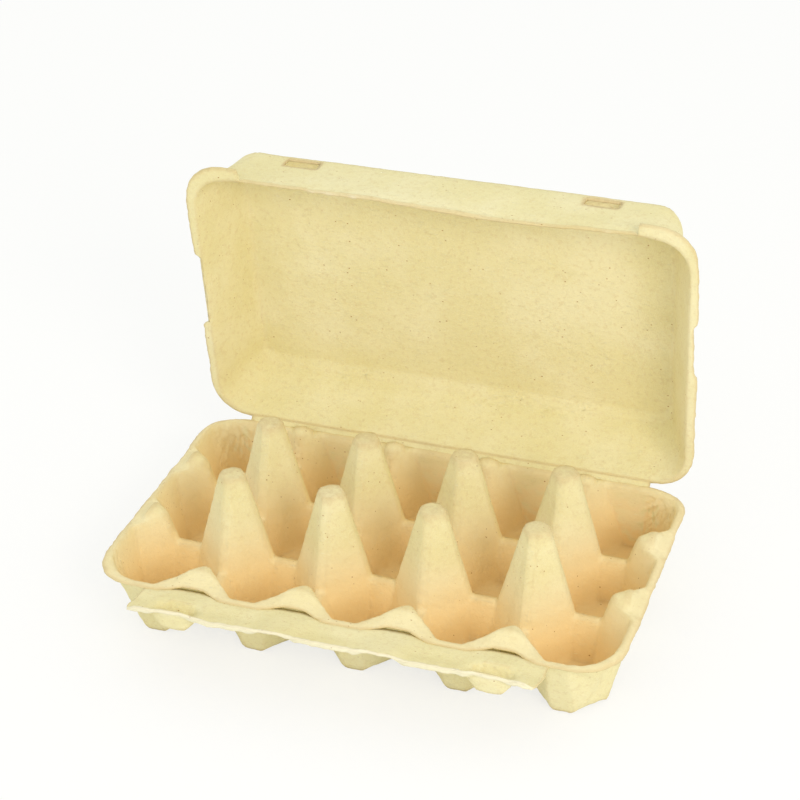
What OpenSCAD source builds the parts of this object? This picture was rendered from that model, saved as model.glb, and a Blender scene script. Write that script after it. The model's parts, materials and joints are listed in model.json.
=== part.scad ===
// Moulded pulp egg carton: a tray of cells, a lid that folds up behind it
// and a lock flap that folds down in front. It stands open on its feet.
// The origin is under the middle cell, on the surface that the feet stand on.

/* [Cells] */
// Cells along the carton
cells_x = 5; // [3:1:6]
// Rows of cells across the carton
cells_y = 3; // [2:1:4]
// Distance between the centres of neighbouring cells along the carton
pitch_x = 50; // [47:0.5:56]
// Distance between the rows of cells
pitch_y = 48.7; // [46:0.1:54]
// Depth of a cell's floor under the rim
cell_depth = 34.6; // [28:0.2:42]
// Half-length of a cell's floor along the carton
floor_x = 15.3; // [12:0.1:17]
// Half-length of a cell's floor across the carton
floor_y = 17; // [12:0.1:17.5]
// Half-length of the floor's short sides
floor_side = 4.5; // [3:0.1:6]

/* [Posts between the cells] */
// Height of a post over the rim
post_h = 31.7; // [20:0.1:36]
// Distance from a post's axis to the edge of its top
post_top = 6.2; // [5:0.1:7.5]
// Rise of the rounded top of a post
post_dome = 0.6; // [0.2:0.1:1.5]
// Half-width of a post's ridge at its top
ridge_top = 1.8; // [1.6:0.1:2.6]
// Half-width of the ridge where it meets the saddle
ridge_foot = 2.2; // [1.8:0.1:3.4]
// Depth of the saddle between two cells under the rim
saddle_drop = 13.5; // [9:0.1:17]
// Distance from a post's axis to the start of the saddle
saddle_run = 18.5; // [17:0.1:19.5]

/* [Rim of the tray] */
// Distance from the last cells' centres to the mouth of their end wall
end_mouth = 23; // [22:0.1:24.5]
// Distance from the last cells' centres to the tray's ends
end_edge = 27.6; // [26.5:0.1:30]
// Distance from the front row's centres to the mouth of the front wall
front_mouth = 28.7; // [27:0.1:29.5]
// Distance from the front row's centres to the flap's fold
front_fold = 34.2; // [33.5:0.1:37]
// How far the fold steps in at the lugs
fold_step = 5.3; // [4:0.1:6]
// Distance from the back row's centres to the mouth of the back wall
back_mouth = 18.9; // [18:0.1:19.4]
// Distance from the back row's centres to the lid's fold
back_fold = 22.4; // [22.2:0.1:26]
// How far the rim curls down along the tray's ends
rim_curl = 1.2; // [0.4:0.1:2]
// Distance from a lug's axis, half a pitch past the last cells, to its tip
lug_reach = 14.3; // [13:0.1:15]
// Distance from a lug's axis to its crest
lug_crest = 7; // [6:0.1:8]
// Height of a lug over the rim
lug_h = 4.8; // [3:0.1:5]

/* [Lid] */
// Depth inside the lid from the rim
lid_depth = 32.6; // [26:0.1:40]
// How far the lid is opened from closed
lid_open = 83; // [60:1:90]
// How much the lid's panel is narrower than its mouth at each end
lid_draft_end = 14; // [8:0.1:18]
// How much the panel is drawn in at the back
lid_draft_back = 17.4; // [10:0.1:20]
// How much the panel is drawn in at the front
lid_draft_front = 3.5; // [1:0.1:8]
// Width of the flange at the lid's ends
lid_flange = 4.9; // [4:0.1:6]
// Distance from the lid's fold to the inside of its front wall
lid_front = 144.4; // [143:0.1:145]
// Distance from the lid's fold to the edge of its front corners
lid_edge = 152.3; // [150:0.1:152.6]
// How far the soft front wall is bowed in at the rim
front_bow = 3.2; // [0:0.1:4]
// Length of a lock slot
slot_len = 16.5; // [14:0.5:20]
// Height of a lock slot
slot_h = 7; // [5:0.5:8]
// Depth of a slot's nearest edge in the lid
slot_in = 23; // [18:0.5:24]

/* [Lock flap] */
// Length of the flap from its fold to its lip
flap_len = 20.3; // [19:0.1:24]
// How far the flap is shorter than the last cells' centres at each end
flap_inset = 3; // [2.5:0.1:8]
// How far the flap rises from level
flap_tilt = 15; // [5:1:20]
// Depth of the troughs in front of the cells
trough_drop = 4.4; // [2:0.1:5]
// Depth of the lock bosses
boss_drop = 9.4; // [6:0.1:10]
// Half-length of a boss at its mouth
boss_half = 12.2; // [10:0.1:12.4]
// Distance of a boss's middle from the fold
boss_out = 12; // [11:0.1:13]
// Radius of the flap's free corners
flap_corner = 5; // [4:0.5:8]

/* [Walls] */
// Thickness of the pulp
wall = 1.8; // [1.4:0.1:2]
// Thickness of the pulp at a fold
fold_t = 1; // [0.8:0.1:1.2]
// Room left for a fold between two panels
fold_gap = 0.8; // [0.7:0.05:1.1]

/* [Hidden] */

half_x = pitch_x / 2;
half_y = pitch_y / 2;
rim_z = cell_depth + wall;
last_x = (cells_x - 1) * half_x;
last_y = (cells_y - 1) * half_y;
hinge_y = last_y + back_fold;
fold_y = -last_y - front_fold;
root_gap = 0.3;
pulp = [0.93, 0.87, 0.66];

function unit(v) = v / norm(v);
function mix(a, b, f) = a + (b - a) * f;
function sum(list, i = 0) = i < len(list) - 1 ? list[i] + sum(list, i + 1) : list[i];
function ramp(v) = let (c = max(0, min(1, v))) c * c * (3 - 2 * c);

// Normals of the corners that meet in a grid point, pointing to the upper side
function corner_normals(g, i, j) =
    let (steps = [[1, 0], [0, 1], [-1, 0], [0, -1]], p = g[i][j])
    [for (k = [0:3])
        let (a = [i, j] + steps[k], b = [i, j] + steps[(k + 1) % 4])
        if (min(a[0], b[0]) >= 0 && max(a[0], b[0]) < len(g)
            && min(a[1], b[1]) >= 0 && max(a[1], b[1]) < len(g[0]))
            unit(cross(g[a[0]][a[1]] - p, g[b[0]][b[1]] - p))];

// The point under a grid point, t away from the faces that meet there
function under(g, i, j, t) =
    let (ns = corner_normals(g, i, j), n = unit(sum(ns)))
    g[i][j] - n * t / max(0.6, min([for (m = ns) m * n]));

// A sheet with a given upper side, lower side and split of each grid square
module shell(top, low, flipped) {
    nx = len(top);
    ny = len(top[0]);
    n = nx * ny;
    border = concat(
        [for (i = [0:nx - 2]) i * ny], [for (j = [0:ny - 2]) (nx - 1) * ny + j],
        [for (i = [nx - 1:-1:1]) i * ny + ny - 1], [for (j = [ny - 1:-1:1]) j]);
    upper = [for (i = [0:nx - 2]) for (j = [0:ny - 2])
        let (a = i * ny + j, b = a + ny, c = b + 1, d = a + 1)
        each flipped[i][j] ? [[a, d, c], [a, c, b]] : [[a, d, b], [b, d, c]]];
    lower = [for (f = upper) [f[2] + n, f[1] + n, f[0] + n]];
    edge = [for (k = [0:len(border) - 1])
        let (p = border[k], q = border[(k + 1) % len(border)])
        each [[p, q, q + n], [p, q + n, p + n]]];
    polyhedron(concat([for (r = top) each r], [for (r = low) each r]), concat(upper, lower, edge));
}

// Tray: each quarter of a cell is a small grid from the cell's centre (0, 0)
// to the axis of a post (4, 4). Lines 5 and 6 carry the rim past the last cells.

end_wall = [end_mouth, -1, end_edge, end_edge, -rim_curl, [0, 0.17, 0.38, 1], [1, 0.9, 0.1, 0]];
front_edge = front_fold - root_gap - fold_gap;
front_wall = [front_mouth, -0.3, front_edge, front_edge - fold_step, 0, [0, 0.3, 0.65, 1], [1, 0.62, 0.18, 0.03]];
back_wall = [back_mouth, -2.2, back_fold - fold_gap, back_fold - fold_gap,
    0, [0, 0.32, 0.66, 1], [1, 0.42, 0.03, 0]];

// Ridge of a post, and its top, on the way to the next post
function ridge(a, b, half_a, half_b) = [
    a == 4 ? half_a : b <= 1 ? half_a - ridge_foot : half_a - [ridge_top, post_top / 2, post_top / 2][b - 2],
    [0, half_b - saddle_run, half_b - post_top, half_b - post_top / 2, half_b][b],
    b <= 1 ? -saddle_drop : b == 2 ? post_h - post_dome : post_h];

// Floor of a cell and the start of its walls
function floor_point(i, j) =
    i == 2 && j == 2
        ? [(pitch_x - ridge_foot - saddle_run) / 2, (pitch_y - ridge_foot - saddle_run) / 2, -saddle_drop]
        : [[0, floor_x / 2, floor_x], [0, floor_x / 2.5, floor_x], [0, floor_side, 0]][j][i] * [1, 0, 0]
        + [[0, floor_y / 2, floor_y], [0, floor_y / 2.5, floor_y], [0, floor_side, 0]][i][j] * [0, 1, 0]
        + [0, 0, -cell_depth];

// Wall, rim and lug past the last cells: [outwards, along, height]
function lug_point(m, k, w, half_out, half_along) =
    let (tip = half_out - lug_reach,
        flat = half_along - lug_reach - 0.7 + half_out - w[0],
        start = [
            [w[0], 0, w[1]],
            [w[0], flat, w[1]],
            [(w[0] + tip) / 2 + 0.4, (flat + half_along - 2) / 2, w[1] / 4],
            [half_out - lug_crest + 0.5, half_along - 5, lug_h * 0.7],
            [half_out - lug_crest, half_along, lug_h]][k],
        stop = [
            [w[2], 0],
            [w[2], max(flat, half_along * 0.38)],
            [(w[2] + w[3]) / 2, max((flat + half_along - 2) / 2, half_along * 0.59)],
            [w[3], half_along - 5],
            [w[3], half_along]][k],
        f = w[5][m - 3])
    m == 2 ? (k == 3 ? [tip + 0.9, half_along - 2, 1] : [tip, half_along, 1.2])
    : [mix(start[0], stop[0], f), mix(start[1], stop[1], f),
        m == 3 ? start[2] : [-0.1, 0, w[4]][m - 4] + max(0, start[2]) * w[6][m - 3]];

// Corner of the tray: rings round the last cell
function corner_point(i, j, wx, wy) =
    let (q = max(i, j),
        s = i == q ? j : 2 * q - i,
        x = mix(wx[0], wx[2], wx[5][q - 3]),
        y = mix(wy[0], wy[2], wy[5][q - 3]),
        rx = mix(wx[0] - 4, wx[2] - 6, wx[5][q - 3]),
        ry = y * 0.74,
        a = 90 * (s - 1) / (2 * q - 2),
        z = q == 3 ? mix(wx[1], wy[1], s / 6) : mix([-0.1, 0, wx[4]][q - 4], [-0.1, 0, wy[4]][q - 4], s / 2 / q))
    s == 0 ? [x, 0, z] : s == 2 * q ? [0, y, z]
    : [x - rx + rx * cos(a), y - ry + ry * sin(a), z];

function swapped(p) = [p[1], p[0], p[2]];

function quarter_point(i, j, end, wy) =
    i < 3 && j < 3
        ? (end && wy != undef && i == 2 && j == 2
            ? mix([floor_x / 1.6, floor_y / 1.6, -cell_depth], corner_point(3, 3, end_wall, wy), 0.6)
            : floor_point(i, j))
    : end && wy != undef ? corner_point(i, j, end_wall, wy)
    : end && i >= 2 ? lug_point(i, j, end_wall, half_x, half_y)
    : wy != undef && j >= 2 ? swapped(lug_point(j, i, wy, half_y, half_x))
    : i >= 3 ? ridge(i, j, half_x, half_y)
    : swapped(ridge(j, i, half_y, half_x));

function lines(cells) = [for (c = [0:cells - 1])
    for (k = [(c == 0 ? -6 : -3):(c == cells - 1 ? 6 : 4)]) [c, k]];

lines_x = lines(cells_x);
lines_y = lines(cells_y);

function wall_y(l) = l[0] == 0 && l[1] < 0 ? front_wall : l[0] == cells_y - 1 && l[1] > 0 ? back_wall : undef;
function is_end(l) = l[0] == 0 && l[1] < 0 || l[0] == cells_x - 1 && l[1] > 0;

function tray_point(a, b) =
    let (p = quarter_point(abs(a[1]), abs(b[1]), is_end(a), wall_y(b)))
    [a[0] * pitch_x - last_x + sign(a[1]) * p[0], b[0] * pitch_y - last_y + sign(b[1]) * p[1], p[2] + rim_z];

// The pulp is thinner towards the two folds
function tray_t(a, b) =
    let (m = abs(b[1]))
    wall_y(b) == undef || m < 4 ? wall : mix(wall, fold_t, min(1, (m - 3) / 2));

// A floor stays level underneath, so that the carton stands on all its feet
function levelled(p, q) = p[2] < rim_z - cell_depth + 0.01 ? [q[0], q[1], 0] : q;

module tray() {
    top = [for (a = lines_x) [for (b = lines_y) tray_point(a, b)]];
    low = [for (i = [0:len(lines_x) - 1]) [for (j = [0:len(lines_y) - 1])
        levelled(top[i][j], under(top, i, j, tray_t(lines_x[i], lines_y[j])))]];
    flipped = [for (i = [0:len(lines_x) - 2]) [for (j = [0:len(lines_y) - 2])
        let (a = lines_x[i][1] + lines_x[i + 1][1], b = lines_y[j][1] + lines_y[j + 1][1],
            left = lines_x[i + 1][0] == lines_x[i][0] ? a < 0 : true,
            front = lines_y[j + 1][0] == lines_y[j][0] ? b < 0 : true,
            round_corner = is_end(left ? lines_x[i] : lines_x[i + 1])
                && wall_y(front ? lines_y[j] : lines_y[j + 1]) != undef
                && abs(a) > 4 && abs(b) > 4)
        (left != front) != round_corner]];
    color(pulp) shell(top, low, flipped);
}

// Lid: rings from the flange's edge over the walls to the middle of the panel.
// In a ring x runs along the carton and s forwards from the fold.

lid_mouth = last_x + end_edge - lid_flange;
lid_gap = 0.7;
lid_root = 2.4;
slot_x = last_x - half_x;
slot_ends = [slot_x - slot_len / 2, slot_x + slot_len / 2];
flap_half = last_x - flap_inset;
corner_steps = 6;
side_steps = 6;
half_front = concat([flap_half + 1.6, flap_half + 0.9], [slot_ends[1], slot_ends[0]],
    [for (k = [3:-1:1]) slot_ends[0] * k / 4]);
front_x = concat(half_front, [0], [for (k = [len(half_front) - 1:-1:0]) -half_front[k]]);
slot_out = slot_in + slot_h;

// Each ring: depth, then how far the walls are drawn in at the ends, the back
// and the front, then the corner's radius, then the way to the outer side
lid_rings = [
    [lid_gap, -lid_flange, fold_gap - lid_root, -wall, 21, [0, 0, 0.8]],
    [lid_gap, 0, 0, 0, 17, [0.8, 0.8, 0.9]],
    [5, 2.4, 1.6, 0.3, 16, [1, 1, 0.5]],
    [14, lid_draft_end * 0.44, lid_draft_back * 0.28, lid_draft_front * 0.38, 14, [1, 1, 0.3]],
    [slot_in, lid_draft_end * 0.7, lid_draft_back * 0.56, lid_draft_front * 0.65, 12, [1, 1, 0.3]],
    [slot_out, lid_draft_end * 0.87, lid_draft_back * 0.72, lid_draft_front * 0.86, 10, [1, 1, 0.5]],
    [lid_depth, lid_draft_end, lid_draft_back, lid_draft_front, 8, [0.6, 0.6, 1]]];

// Soft inward bow of the front wall, strongest at the rim
function bow(x, d) = front_bow * exp(-pow((x - slot_x * 0.4) / 40, 2)) * max(0, 1 - d / slot_in);

function lid_ring(r, outer) =
    let (o = outer ? r[5] * wall : [0, 0, 0],
        d = r[0] + o[2],
        x = lid_mouth - r[1] + o[0],
        back = lid_root + r[2] - o[1],
        front = lid_front - r[3] + o[1],
        wide = r[1] < 0,
        rad = r[4] + o[0])
    concat(
        [for (p = front_x) wide && abs(p) > flap_half + 1 ? [p, lid_edge, d]
            : [p, front - bow(p, r[0]), r[0] < 1 ? d + 1 + bow(p, 0) / 3 : d]],
        [for (k = [0:corner_steps]) let (a = 90 * k / corner_steps, f = wide ? lid_edge : front)
            [-x + rad - rad * sin(a), f - rad + rad * cos(a), d]],
        [for (k = [1:side_steps - 1]) [-x, mix((wide ? lid_edge : front) - rad, back + rad, k / side_steps), d]],
        [for (k = [0:corner_steps]) let (a = 90 * k / corner_steps)
            [-x + rad - rad * cos(a), back + rad - rad * sin(a), d]],
        [for (k = [len(front_x) - 1:-1:0]) [front_x[k], back, d]],
        [for (k = [0:corner_steps]) let (a = 90 * k / corner_steps)
            [x - rad + rad * sin(a), back + rad - rad * cos(a), d]],
        [for (k = [side_steps - 1:-1:1]) [x, mix((wide ? lid_edge : front) - rad, back + rad, k / side_steps), d]],
        [for (k = [0:corner_steps]) let (a = 90 * k / corner_steps, f = wide ? lid_edge : front)
            [x - rad + rad * cos(a), f - rad + rad * sin(a), d]]);

function shrunk(ring, f) = let (c = sum(ring) / len(ring)) [for (p = ring) mix(c, p, f)];

module lid_shell() {
    wall_rings = len(lid_rings);
    inner_side = [for (r = lid_rings) lid_ring(r, false)];
    outer_side = [for (r = lid_rings) lid_ring(r, true)];
    inner = concat(inner_side, [for (f = [0.7, 0.4, 0.12]) shrunk(inner_side[wall_rings - 1], f)]);
    outer = concat(outer_side, [for (f = [0.7, 0.4, 0.12]) shrunk(outer_side[wall_rings - 1], f)]);
    rings = len(inner);
    n = len(inner[0]);
    all = rings * n + 1;
    slot_ring = 4;
    slots = [for (k = [0:len(front_x) - 2]) if (abs(front_x[k] + front_x[k + 1]) == slot_ends[0] + slot_ends[1]) k];
    function cut(r, k) = r == slot_ring && len(search(k, slots)) > 0;
    cavity = concat(
        [for (r = [0:rings - 2]) for (k = [0:n - 1]) if (!cut(r, k))
            let (a = r * n + k, b = r * n + (k + 1) % n, c = b + n, d = a + n)
            each [[a, c, b], [a, d, c]]],
        [for (k = [0:n - 1]) [(rings - 1) * n + k, rings * n, (rings - 1) * n + (k + 1) % n]]);
    outside = [for (f = cavity) [f[2] + all, f[1] + all, f[0] + all]];
    rim = [for (k = [0:n - 1]) let (b = (k + 1) % n) each [[k, b + all, k + all], [k, b, b + all]]];
    slot_sides = [for (k = slots)
        let (a = slot_ring * n + k, loop = [a, a + n, a + n + 1, a + 1])
        for (e = [0:3]) let (p = loop[e], q = loop[(e + 1) % 4])
        each [[p, q, q + all], [p, q + all, p + all]]];
    points = concat([for (r = inner) each r], [sum(inner[rings - 1]) / n],
        [for (r = outer) each r], [sum(outer[rings - 1]) / n]);
    polyhedron([for (p = points) [p[0], -p[1], p[2]]], concat(cavity, outside, rim, slot_sides));
}

module lid() {
    color(pulp) translate([0, hinge_y, rim_z]) rotate([-lid_open, 0, 0]) lid_shell();
}

// Lock flap: a corrugated strip, troughs in front of the cells and bosses at
// the outer lugs. r runs outwards from the fold and h up from the flap's plane.

flap_r = [0, 0.12, 0.24, 0.34, 0.44, 0.54, 0.64, 0.74, 0.83, 0.92, 1];
flap_u = [0, 0.13, 0.26, 0.38, 0.485, 0.59, 0.695, 0.8, 0.9, 1];

// Distance from the middle of the cell behind, from 0 to half a pitch
function from_cell(x) = abs(x + last_x - pitch_x * round((x + last_x) / pitch_x));
function fold_in(u) = fold_step * max(0, min(1, (u / half_x - 0.38) / 0.42));
function trough(u) = 1 - ramp((u / half_x - 0.3) / 0.55);
function boss(x, r) =
    let (a = (abs(x) - slot_x) / boss_half, b = (r - boss_out) / 6.2, e = pow(pow(a, 4) + pow(b, 4), 0.25))
    1 - ramp((e - 0.35) / 0.65);
function lip_fall(r) = min(1, r / (flap_len - 1.6)) * max(0, min(1, (flap_len - r) / 1.6));

function flap_point(x, f) =
    let (r = mix(root_gap - fold_in(from_cell(x)), flap_len, f),
        rest = flap_corner - sqrt(pow(flap_corner, 2) - pow(max(0, r - flap_len + flap_corner), 2)),
        keep = flap_half - flap_corner - 1,
        stretch = abs(x) > keep ? keep + (abs(x) - keep) * (flap_half - rest - keep) / (flap_half - keep) : abs(x),
        h = 0.5 - trough_drop * trough(from_cell(x)) * lip_fall(r) - boss_drop * boss(x, r))
    [sign(x) * stretch, -r, h];

module lock_flap() {
    xs = [for (c = [0:cells_x - 1]) for (k = [-9:8])
        let (x = (c - (cells_x - 1) / 2) * pitch_x + sign(k) * flap_u[abs(k)] * half_x)
        if (abs(x) < flap_half - 1) x];
    all_x = concat([-flap_half], xs, [flap_half]);
    top = [for (x = all_x) [for (k = [len(flap_r) - 1:-1:0]) flap_point(x, flap_r[k])]];
    low = [for (i = [0:len(top) - 1]) [for (j = [0:len(top[0]) - 1])
        under(top, i, j, j > len(top[0]) - 3 ? fold_t : wall * 0.9)]];
    flipped = [for (i = [0:len(top) - 2]) [for (j = [0:len(top[0]) - 2]) all_x[i] + all_x[i + 1] > 0]];
    color(pulp) translate([0, fold_y, rim_z - fold_t / 2]) rotate([-flap_tilt, 0, 0]) shell(top, low, flipped);
}

tray();
lid();
lock_flap();
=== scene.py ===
# Pulp egg carton: a tray of cells, an open lid and a lock flap, in moulded pulp.
import json
import math

import bpy
from mathutils import Matrix, Vector, noise


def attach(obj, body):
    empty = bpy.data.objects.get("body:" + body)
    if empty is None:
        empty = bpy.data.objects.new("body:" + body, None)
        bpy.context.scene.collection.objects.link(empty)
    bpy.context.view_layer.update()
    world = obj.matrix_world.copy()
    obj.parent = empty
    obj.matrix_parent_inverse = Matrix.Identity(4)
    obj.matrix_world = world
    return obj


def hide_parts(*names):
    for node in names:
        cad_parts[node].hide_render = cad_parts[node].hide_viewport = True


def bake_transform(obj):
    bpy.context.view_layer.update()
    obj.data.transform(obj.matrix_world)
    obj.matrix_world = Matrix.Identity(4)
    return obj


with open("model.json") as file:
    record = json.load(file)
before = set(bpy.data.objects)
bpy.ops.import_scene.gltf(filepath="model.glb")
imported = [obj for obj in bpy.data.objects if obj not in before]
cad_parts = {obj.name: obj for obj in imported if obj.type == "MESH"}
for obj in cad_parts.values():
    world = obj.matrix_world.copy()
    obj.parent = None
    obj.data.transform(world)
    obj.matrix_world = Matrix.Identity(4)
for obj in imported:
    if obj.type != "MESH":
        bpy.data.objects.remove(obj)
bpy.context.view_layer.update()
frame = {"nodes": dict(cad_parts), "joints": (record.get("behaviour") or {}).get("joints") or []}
foldLid = Vector(frame["joints"][0]["pos_m"])
foldFlap = Vector(frame["joints"][1]["pos_m"])
rimHeight = foldLid.z
print("frame loaded")


# Shader maths: a socket that takes part in Python expressions
class Value:
    def __init__(self, mat, socket):
        self.mat, self.socket = mat, socket

    def math(self, operation, other=None, swap=False):
        pair = [self, other] if other is not None else [self]
        return self.mat.node("ShaderNodeMath", {"operation": operation}, pair[::-1] if swap else pair)

    def __add__(self, other):
        return self.math("ADD", other)

    __radd__ = __add__

    def __mul__(self, other):
        return self.math("MULTIPLY", other)

    __rmul__ = __mul__

    def __sub__(self, other):
        return self.math("SUBTRACT", other)

    def __rsub__(self, other):
        return self.math("SUBTRACT", other, swap=True)

    def clamp(self, low, high):
        return self.mat.node("ShaderNodeMapRange", {"interpolation_type": "SMOOTHSTEP"}, [self, low, high])


# A material under construction
class Finish:
    def __init__(self, name):
        self.material = bpy.data.materials.new(name)
        self.material.use_nodes = True
        self.tree = self.material.node_tree
        self.shader = self.tree.nodes["Principled BSDF"]
        self.coords = self.node("ShaderNodeTexCoord", {}, [], out="Object")

    def node(self, kind, settings, inputs, out=0):
        made = self.tree.nodes.new(kind)
        for name, value in settings.items():
            setattr(made, name, value)
        named = inputs.items() if isinstance(inputs, dict) else enumerate(inputs)
        for key, value in named:
            if isinstance(value, Value):
                self.tree.links.new(value.socket, made.inputs[key])
            elif value is not None:
                made.inputs[key].default_value = value
        return Value(self, made.outputs[out])

    def noise(self, scale, detail=3.0, stretch=None, rough=0.5, out=0):
        place = self.coords
        if stretch:
            turn, scales = stretch
            place = self.node("ShaderNodeMapping", {}, {0: place, "Rotation": turn, "Scale": scales})
        return self.node("ShaderNodeTexNoise", {},
                         {"Vector": place, "Scale": scale, "Detail": detail, "Roughness": rough}, out)

    def mix(self, factor, a, b, blend="MIX"):
        return self.node("ShaderNodeMix", {"data_type": "RGBA", "blend_type": blend},
                         {0: factor, 6: a, 7: b}, 2)

    def tone(self, name):
        return self.node("ShaderNodeAttribute", {"attribute_name": name}, [], "Fac")

    def set(self, name, value):
        if isinstance(value, Value):
            self.tree.links.new(value.socket, self.shader.inputs[name])
        else:
            self.shader.inputs[name].default_value = value


pulpLook = {
    "cream": (0.82, 0.74, 0.41, 1),
    "pale": (0.87, 0.80, 0.50, 1),
    # painted shade in the cells, lighter stage
    "peach": (0.92, 0.78, 0.48, 1),
    "tan": (0.68, 0.53, 0.27, 1),
    # painted shade in the cells, darkest stage
    "deep": (0.92, 0.62, 0.25, 1),
    "aged": (0.66, 0.52, 0.28, 1),
    # browner tint for sharp ridges and edges
    "worn": (0.64, 0.45, 0.20, 1),
    # painted shade for hollows and creases
    "crevice": (0.58, 0.36, 0.12, 1),
    "raw": (0.95, 0.91, 0.74, 1),
    "fleck": (0.40, 0.20, 0.06, 1),
    "fibre": (0.93, 0.88, 0.66, 1),
    "roughness": 0.93,
    "felt": 0.6,
    "feltDepth": 0.0011,
    "cloudScale": 28,
    "grainScale": 420,
    "fineScale": 1500,
    "hairScale": 260,
    "hairTurns": (0.3, 1.4, 2.5),
    "fleckScale": 210.0,
    "fleckPatches": 90,
}


# Cream pulp with painted shade in the cells and in creases, a browner tint on sharp ridges, and hairs, grain
# and flecks
def pulpFinish(name, look):
    pulp = Finish(name)
    cloud = pulp.noise(look["cloudScale"], 4)
    grain = pulp.noise(look["grainScale"], 4, rough=0.65)
    fine = pulp.noise(look["fineScale"], 2)
    colour = pulp.mix(cloud.clamp(0.35, 0.7), look["cream"], look["pale"])
    colour = pulp.mix(grain.clamp(0.48, 0.72) * 0.35, colour, look["tan"])
    colour = pulp.mix(fine.clamp(0.5, 0.7) * 0.25, colour, look["fibre"])
    # painted shade in the cells: peach, then deep orange, the deeper the pulp lies
    warm = pulp.tone("warm")
    colour = pulp.mix(warm.clamp(0, 0.5) * 0.75, colour, look["peach"])
    colour = pulp.mix(warm.clamp(0.3, 1) * 0.55, colour, look["deep"])
    curve = pulp.node("ShaderNodeNewGeometry", {}, [], "Pointiness")
    # browner tint on sharp ridges and edges, where the surface curves outward
    colour = pulp.mix(curve.clamp(0.51, 0.57) * 0.4, colour, look["worn"])
    # painted shade in hollows and creases, where the surface curves inward
    colour = pulp.mix((1 - curve.clamp(0.4, 0.49)) * 0.55, colour, look["crevice"])
    granular = grain.clamp(0.3, 0.6) * 0.5 + 0.35
    colour = pulp.mix(pulp.tone("aged").clamp(0, 1) * granular, colour, look["aged"])
    colour = pulp.mix(pulp.tone("torn").clamp(0, 1) * 0.6, colour, look["raw"])
    hairs = []
    for turn in look["hairTurns"]:
        hairs.append(pulp.noise(look["hairScale"], 2, ((0.4, turn, turn * 0.7), (1, 9, 9))).clamp(0.66, 0.74))
    colour = pulp.mix((hairs[0] + hairs[1]) * 0.45, colour, look["fibre"])
    colour = pulp.mix(hairs[2] * 0.35, colour, look["tan"])
    strewn = pulp.node("ShaderNodeMapping", {},
                       {0: pulp.coords, "Rotation": (0.7, 0.4, 0.9), "Scale": (1, 2.2, 1.4)})
    spots = pulp.node("ShaderNodeTexVoronoi", {},
                      {"Vector": strewn, "Scale": look["fleckScale"], "Randomness": 1.0})
    rare = pulp.noise(look["fleckPatches"], 1).clamp(0.5, 0.62)
    colour = pulp.mix((1 - spots.clamp(0.05, 0.13)) * rare * 0.85, colour, look["fleck"])
    pulp.set("Base Color", colour)
    pulp.set("Roughness", look["roughness"])
    pulp.set("Specular IOR Level", 0.25)
    felt = grain * 0.6 + fine * 0.25 + hairs[0] * 0.18 + hairs[1] * 0.18
    bump = pulp.node("ShaderNodeBump", {},
                     {"Strength": look["felt"], "Distance": look["feltDepth"], "Height": felt})
    pulp.set("Normal", bump)
    return pulp.material


def deselectAll():
    if bpy.context.object and bpy.context.object.mode != "OBJECT":
        bpy.ops.object.mode_set(mode="OBJECT")
    bpy.ops.object.select_all(action="DESELECT")


def makeActive(piece):
    deselectAll()
    piece.select_set(True)
    bpy.context.view_layer.objects.active = piece


copying = {"merge": 0.00001, "flat": math.radians(25), "shape": math.radians(100), "mostRounds": 7}


# A working copy of a solid, merged, made of quads and cut until no edge is longer than the spacing
def pulpCopy(nodeName, name, spacing, soften):
    source = frame["nodes"][nodeName]
    piece = bpy.data.objects.new(name, source.data.copy())
    bpy.context.scene.collection.objects.link(piece)
    piece.data.transform(source.matrix_world)
    piece.data.materials.clear()
    makeActive(piece)
    bpy.ops.object.mode_set(mode="EDIT")
    bpy.ops.mesh.select_all(action="SELECT")
    bpy.ops.mesh.remove_doubles(threshold=copying["merge"])
    bpy.ops.mesh.tris_convert_to_quads(face_threshold=copying["flat"], shape_threshold=copying["shape"])
    bpy.ops.mesh.select_mode(type="EDGE")
    for _ in range(copying["mostRounds"]):
        bpy.ops.mesh.select_all(action="DESELECT")
        bpy.ops.object.mode_set(mode="OBJECT")
        points = piece.data.vertices
        lengths = [(points[e.vertices[0]].co - points[e.vertices[1]].co).length for e in piece.data.edges]
        for edge, length in zip(piece.data.edges, lengths):
            edge.select = length > spacing
        bpy.ops.object.mode_set(mode="EDIT")
        if max(lengths) <= spacing:
            break
        bpy.ops.mesh.subdivide(number_cuts=1, smoothness=0, ngon=False)
    bpy.ops.mesh.select_mode(type="VERT")
    bpy.ops.mesh.select_all(action="SELECT")
    bpy.ops.mesh.vertices_smooth(factor=0.5, repeat=soften)
    bpy.ops.object.mode_set(mode="OBJECT")
    return piece


# A tone for each vertex, read by the finish
def mark(piece, name, rule):
    tone = piece.data.attributes.new(name, "FLOAT", "POINT")
    for vertex, value in zip(piece.data.vertices, tone.data):
        value.value = rule(vertex.co, vertex.normal)


def clouds(name, size):
    texture = bpy.data.textures.new(name, "CLOUDS")
    texture.noise_scale = size
    texture.noise_depth = 2
    return texture


# Moulded unevenness: long swells and small pits, pushed along the normals
def roughen(piece, swell, pits):
    for label, (size, strength) in (("swell", swell), ("pits", pits)):
        push = piece.modifiers.new(label, "DISPLACE")
        push.texture = clouds(piece.name + label, size)
        push.texture_coords = "LOCAL"
        push.strength = strength
        push.mid_level = 0.5
        makeActive(piece)
        bpy.ops.object.modifier_apply(modifier=label)


def finishPiece(piece, material, body=None):
    piece.data.materials.append(material)
    makeActive(piece)
    bpy.ops.object.shade_smooth()
    if body:
        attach(piece, body)


def moveVertices(piece, place):
    for vertex in piece.data.vertices:
        vertex.co = place(vertex.co)
    piece.data.update()


def smoothStep(low, high, v):
    t = min(1, max(0, (v - low) / (high - low)))
    return t * t * (3 - 2 * t)


wavering = ((45, 1), (140, 0.8), (420, 0.6))  # how fast each wave runs, and its share


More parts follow.
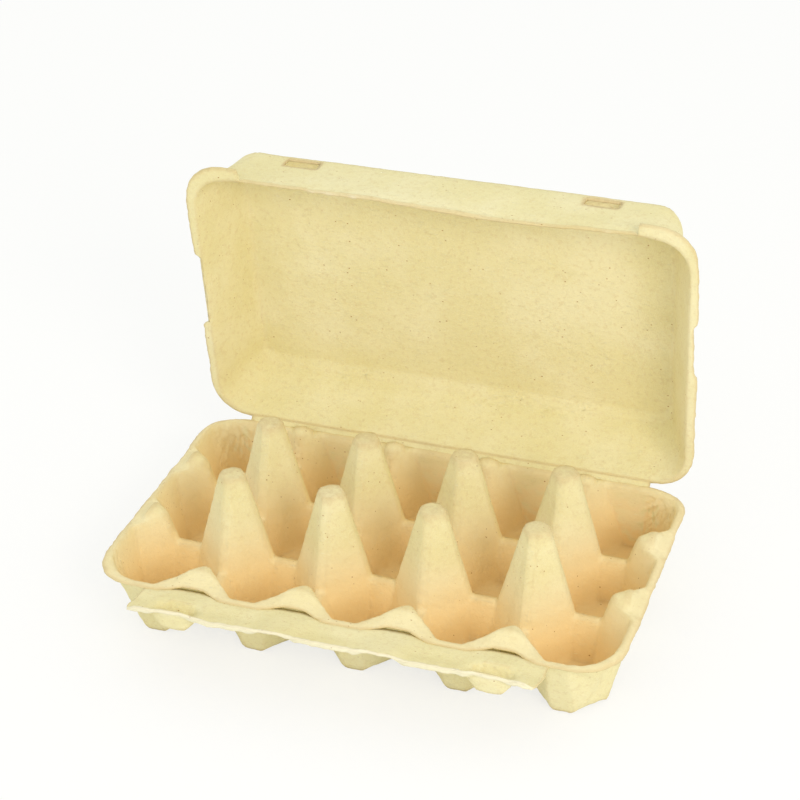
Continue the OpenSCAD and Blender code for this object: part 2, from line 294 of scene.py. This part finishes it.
# An uneven wavering between about -1 and 1 along one length
def waver(v, seed):
    return sum(noise.noise(Vector((v * pace, seed, 0))) * share for pace, share in wavering)


# How far a place along the carton is from the middle of its cell
def fromMiddle(v, pitch):
    return abs(v - pitch * round(v / pitch))


trayShape = {
    "pitch": (0.050, 0.0487),  # between cells, along and across
    "spacing": 0.0028,  # longest edge of the mesh
    "soften": 1,
    "swell": (0.02, 0.0006),  # size and height
    "pits": (0.003, 0.0005),
    "footLift": 0.0022,
    "footHeight": 0.008,
    "footCorner": ((0.0155, 0.0225), (0.003, 0.0075)),  # sum and least of the distances along and across
    "endEdge": (0.1246, 0.1276),
    "rimBand": (0.005, 0.001),  # under the rim
    "ragged": 0.0007,
    "postTop": (0.0600, 0.0685),
    # how far above the rim the painted shade in the cells reaches
    "warmthOverRim": 0.022,
}


# Painted shade inside the cells: the pulp is painted warmer and darker the deeper it lies, in place of shade
# and light bounced within the cells
def cellPaintedShade(co, normal):
    inside = smoothStep(-0.05, 0.12, normal.z)
    return inside * (1 - smoothStep(0.0, rimHeight + trayShape["warmthOverRim"], co.z))


# The corners of the feet are lifted, and the rim's ends are a little ragged
def trayVertex(co):
    shape = trayShape
    u, v = (fromMiddle(place, pitch) for place, pitch in zip(co, shape["pitch"]))
    nearFoot = 1 - smoothStep(0.0, shape["footHeight"], co.z)
    across, along = shape["footCorner"]
    lift = shape["footLift"] * nearFoot * smoothStep(*across, u + v) * smoothStep(*along, min(u, v))
    low, high = shape["rimBand"]
    atRim = smoothStep(rimHeight - low, rimHeight - high, co.z)
    ragged = smoothStep(*shape["endEdge"], abs(co.x)) * atRim * shape["ragged"]
    return Vector((co.x + math.copysign(ragged, co.x) * waver(co.y, 1.7 + co.x * 9),
                   co.y, max(co.z + lift, 0.0) + ragged * (0.3 * waver(co.y, 4.4) - 0.3)))


def buildTray():
    tray = pulpCopy("tray", "tray_pulp", trayShape["spacing"], trayShape["soften"])
    roughen(tray, trayShape["swell"], trayShape["pits"])
    moveVertices(tray, trayVertex)
    # painted shade in the cells, stronger the deeper they lie
    mark(tray, "warm", cellPaintedShade)
    mark(tray, "aged", lambda co, normal: smoothStep(*trayShape["postTop"], co.z) * 0.6)
    finishPiece(tray, pulpFinish("tray pulp", pulpLook), "tray")
    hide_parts("tray")
    print("tray done", len(tray.data.polygons))


lidShape = {
    "spacing": 0.0022,
    "soften": 1,
    "swell": (0.045, 0.0009),
    "pits": (0.004, 0.0004),
    "open": 83,  # degrees from closed
    "ragged": 0.0011,
    "frontRim": ((0.1425, 0.1445), (0.002, 0.006), (0.096, 0.098)),  # from the fold, depth, half-length
    "sideEdge": ((0.1235, 0.127), (0.003, 0.006)),  # half-length, depth
    "sideWaver": 0.0005,
    "steps": ((0.057, 0.099, 0.0032), (0.070, 0.100, 0.0016)),  # left and right: start, stop, inwards
    "slot": (0.075, 0.00825, 0.0265, 0.0035),  # middle, half-length, depth, half-height
    "slotRim": (0.0006, 0.0022),
    "frontWall": (0.13, 0.138),
    "torn": ((0.1405, 0.1430), (0.0010, 0.0026), (0.092, 0.098)),
}


# Places in the lid: x, the distance from the fold and the depth from the rim
def toLid(co):
    turn = math.radians(lidShape["open"])
    y, z = co.y - foldLid.y, co.z - foldLid.z
    return co.x, -y * math.cos(turn) + z * math.sin(turn), y * math.sin(turn) + z * math.cos(turn)


def fromLid(x, s, d):
    turn = math.radians(lidShape["open"])
    return Vector((x, foldLid.y - s * math.cos(turn) + d * math.sin(turn),
                   foldLid.z + s * math.sin(turn) + d * math.cos(turn)))


# 1 near the front edge of the lid's mouth, between its corners
def nearFront(x, s, d, limits):
    out, deep, half = limits
    return smoothStep(*out, s) * (1 - smoothStep(*deep, d)) * (1 - smoothStep(*half, abs(x)))


# The front edge is ragged, and each side has a stretch that is torn back in a step
def lidVertex(co):
    shape = lidShape
    x, s, d = toLid(co)
    ragged = nearFront(x, s, d, shape["frontRim"]) * shape["ragged"]
    d += ragged * waver(x, 2.2)
    s += ragged * 0.5 * waver(x, 5.1)
    out, deep = shape["sideEdge"]
    atEdge = smoothStep(*out, abs(x)) * (1 - smoothStep(*deep, d))
    start, stop, inward = shape["steps"][0 if x < 0 else 1]
    inside = smoothStep(start - 0.001, start + 0.002, s) * (1 - smoothStep(stop - 0.002, stop + 0.001, s))
    pull = atEdge * (inside * inward + shape["sideWaver"] * (1 + waver(s, 3.3 + x * 9)))
    return fromLid(x - math.copysign(pull, x), s, d)


# 1 at the rim of a lock slot, falling to 0 within two millimetres
def slotTone(co, normal):
    x, s, d = toLid(co)
    middle, halfLength, depth, halfHeight = lidShape["slot"]
    away = max(abs(abs(x) - middle) - halfLength, abs(d - depth) - halfHeight)
    return (1 - smoothStep(*lidShape["slotRim"], abs(away))) * smoothStep(*lidShape["frontWall"], s)


def tornTone(co, normal):
    return nearFront(*toLid(co), lidShape["torn"]) * 0.7


def buildLid():
    lid = pulpCopy("lid", "lid_pulp", lidShape["spacing"], lidShape["soften"])
    roughen(lid, lidShape["swell"], lidShape["pits"])
    moveVertices(lid, lidVertex)
    mark(lid, "aged", slotTone)
    mark(lid, "torn", tornTone)
    finishPiece(lid, pulpFinish("lid pulp", pulpLook), "lid")
    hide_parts("lid")
    print("lid done", len(lid.data.polygons))


flapShape = {
    "spacing": 0.0016,
    "soften": 1,
    "swell": (0.02, 0.0005),
    "pits": (0.003, 0.0004),
    "lip": (-0.1012, -0.1026),
    "lipWaver": 0.0006,
    "lipLift": 0.0005,
    "lifted": (0.004, 0.020),  # from the fold
    "flatter": 0.55,  # share of a trough's depth taken out
    "flattened": (0.006, 0.015),  # from the fold
    "troughSide": (0.010, 0.016),  # from the middle of the cell behind
    "tilt": 15,  # degrees
    "column": 0.0012,  # width of the strips in which the root is found
    "root": 0.0022,
    "reach": 0.0034,
    "drop": 0.0007,
    "bend": (-0.0765, -0.0850),  # where the bending starts and ends
}


def lipTone(co, normal):
    near, far = flapShape["lip"]
    return 1 - smoothStep(far, near, co.y)


# The flap's root is drawn back under the tray's edge, so that the fold is closed
def buildFlap():
    shape = flapShape
    flap = pulpCopy("lock_flap", "lock_flap_pulp", shape["spacing"], shape["soften"])
    roughen(flap, shape["swell"], shape["pits"])
    rootLine = {}
    for vertex in flap.data.vertices:
        key = round(vertex.co.x / shape["column"])
        rootLine[key] = max(rootLine.get(key, -1), vertex.co.y)

    # Towards the lip the troughs are flatter and the whole strip curls up
    def flapVertex(co):
        back = rootLine[round(co.x / shape["column"])] - co.y
        near = 1 - smoothStep(0.0, shape["root"], back)
        atLip = lipTone(co, None)
        out = foldFlap.y - co.y
        below = min(0, co.z - foldFlap.z - out * math.tan(math.radians(shape["tilt"])))
        trough = 1 - smoothStep(*shape["troughSide"], fromMiddle(co.x, trayShape["pitch"][0]))
        z = co.z - below * shape["flatter"] * trough * smoothStep(*shape["flattened"], out)
        z += shape["lipLift"] * smoothStep(*shape["lifted"], out)
        ragged = atLip * shape["lipWaver"]
        y = co.y + near * shape["reach"] + ragged * waver(co.x, 7.7)
        return Vector((co.x, y, z - near * shape["drop"] + ragged * (waver(co.x, 3.1) - 0.2)))

    mark(flap, "torn", lipTone)
    moveVertices(flap, flapVertex)
    finishPiece(flap, pulpFinish("flap pulp", pulpLook))
    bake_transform(flap)
    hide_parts("lock_flap")
    print("flap done", len(flap.data.polygons))


creaseShape = {
    "halfLength": 0.106,
    "step": 0.002,
    "across": 6,
    "thickness": 0.0009,
    "atTray": (-0.0016, -0.0006),  # from the fold: along the carton's depth, and height
    "middle": (0.0002, -0.0004),
    "atLid": (0.0018, 0.0011),  # in the lid's own way: from the fold, and depth
}


# The creased strip between the tray and the lid
def buildLidCrease():
    shape = creaseShape
    base = Vector((0, foldLid.y, rimHeight))
    start, middle = (base + Vector((0, *shape[k])) for k in ("atTray", "middle"))
    end = fromLid(0, *shape["atLid"])
    count = round(2 * shape["halfLength"] / shape["step"])
    bpy.ops.mesh.primitive_grid_add(x_subdivisions=count, y_subdivisions=shape["across"], size=2)
    crease = bpy.context.object
    crease.name = "lid_crease"

    def creaseVertex(co):
        t = (co.y + 1) / 2
        place = start * (1 - t) ** 2 + middle * 2 * t * (1 - t) + end * t ** 2
        return Vector((co.x * shape["halfLength"], place.y, place.z))

    moveVertices(crease, creaseVertex)
    solid = crease.modifiers.new("pulp", "SOLIDIFY")
    solid.thickness = shape["thickness"]
    solid.offset = 0
    makeActive(crease)
    bpy.ops.object.modifier_apply(modifier="pulp")
    finishPiece(crease, pulpFinish("crease pulp", pulpLook))
    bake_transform(crease)
    print("crease done")


cameraView = {
    "place": (0.28735, -0.80210, 0.62234),
    "azimuth": 19.618,
    "elevation": 31.128,
    "roll": -1.188,
    "lens": 96.64,
}


def buildCamera():
    view = cameraView
    azimuth, elevation, roll = (math.radians(view[k]) for k in ("azimuth", "elevation", "roll"))
    level = math.cos(elevation)
    back = Vector((math.sin(azimuth) * level, -math.cos(azimuth) * level, math.sin(elevation)))
    right = Vector((math.cos(azimuth), math.sin(azimuth), 0))
    up = back.cross(right)
    tiltedRight = right * math.cos(roll) + up * math.sin(roll)
    tiltedUp = up * math.cos(roll) - right * math.sin(roll)
    bpy.ops.object.camera_add(location=view["place"])
    camera = bpy.context.object
    turned = Matrix((tiltedRight, tiltedUp, back)).transposed().to_4x4()
    camera.matrix_world = Matrix.Translation(view["place"]) @ turned
    camera.data.sensor_width = 36
    camera.data.lens = view["lens"]
    camera.data.clip_start = 0.01
    bpy.context.scene.camera = camera


studio = {
    "floorColour": (0.9, 0.9, 0.89, 1),
    "floorShade": (0.27, 0.27, 0.27, 1),
    "floorGlow": (0.72, 0.72, 0.715, 1),
    "background": (0.955, 0.955, 0.95, 1),
    "skyColour": (0.985, 1, 0.955, 1),
    "keyColour": (1, 0.91, 0.80),
    "worldStrength": 0.92,
    "keyWatts": 5.4,
    "fillWatts": 0.8,
}


# Seen by the camera, the floor is nearly white and keeps a faint shadow
def floorFinish():
    paint = Finish("floor")
    paint.set("Base Color", studio["floorColour"])
    paint.set("Roughness", 0.9)
    path = paint.node("ShaderNodeLightPath", {}, [], "Is Camera Ray")
    for ray in ("Is Glossy Ray", "Is Transmission Ray"):
        path = path.math("MAXIMUM", paint.node("ShaderNodeLightPath", {}, [], ray))
    shade = paint.node("ShaderNodeBsdfDiffuse", {}, [studio["floorShade"]])
    glow = paint.node("ShaderNodeEmission", {}, [studio["floorGlow"], 1.0])
    seen = paint.node("ShaderNodeAddShader", {}, [shade, glow])
    plain = Value(paint, paint.shader.outputs[0])
    both = paint.node("ShaderNodeMixShader", {}, [path, plain, seen])
    paint.tree.links.new(both.socket, paint.tree.nodes["Material Output"].inputs["Surface"])
    return paint.material


def buildStudio():
    bpy.ops.mesh.primitive_plane_add(size=8, location=(0, 0, 0))
    floor = bpy.context.object
    floor.name = "floor"
    floor.data.materials.append(floorFinish())
    world = bpy.data.worlds.new("studio")
    bpy.context.scene.world = world
    world.use_nodes = True
    sky = world.node_tree
    base = sky.nodes["Background"]
    base.inputs["Color"].default_value = studio["skyColour"]
    base.inputs["Strength"].default_value = studio["worldStrength"]
    plain = sky.nodes.new("ShaderNodeBackground")
    plain.inputs["Color"].default_value = studio["background"]
    blend = sky.nodes.new("ShaderNodeMixShader")
    path = sky.nodes.new("ShaderNodeLightPath")
    sky.links.new(path.outputs["Is Camera Ray"], blend.inputs[0])
    sky.links.new(base.outputs[0], blend.inputs[1])
    sky.links.new(plain.outputs[0], blend.inputs[2])
    sky.links.new(blend.outputs[0], sky.nodes["World Output"].inputs["Surface"])
    for name, place, watts, size, tint in (
            ("key", (0.80, -0.85, 0.75), studio["keyWatts"], 0.45, studio["keyColour"]),
            ("fill", (-0.9, -0.85, 0.5), studio["fillWatts"], 0.8, (1, 1, 1))):
        bpy.ops.object.light_add(type="AREA", location=place)
        lamp = bpy.context.object
        lamp.name = name
        lamp.data.energy = watts
        lamp.data.size = size
        lamp.data.color = tint
        aim = Vector((0, 0, 0.07)) - Vector(place)
        lamp.rotation_euler = aim.to_track_quat("-Z", "Y").to_euler()


buildCamera()
buildStudio()
deselectAll()
buildTray()
buildLid()
buildFlap()
buildLidCrease()

bpy.context.scene.view_settings.view_transform = "Standard"
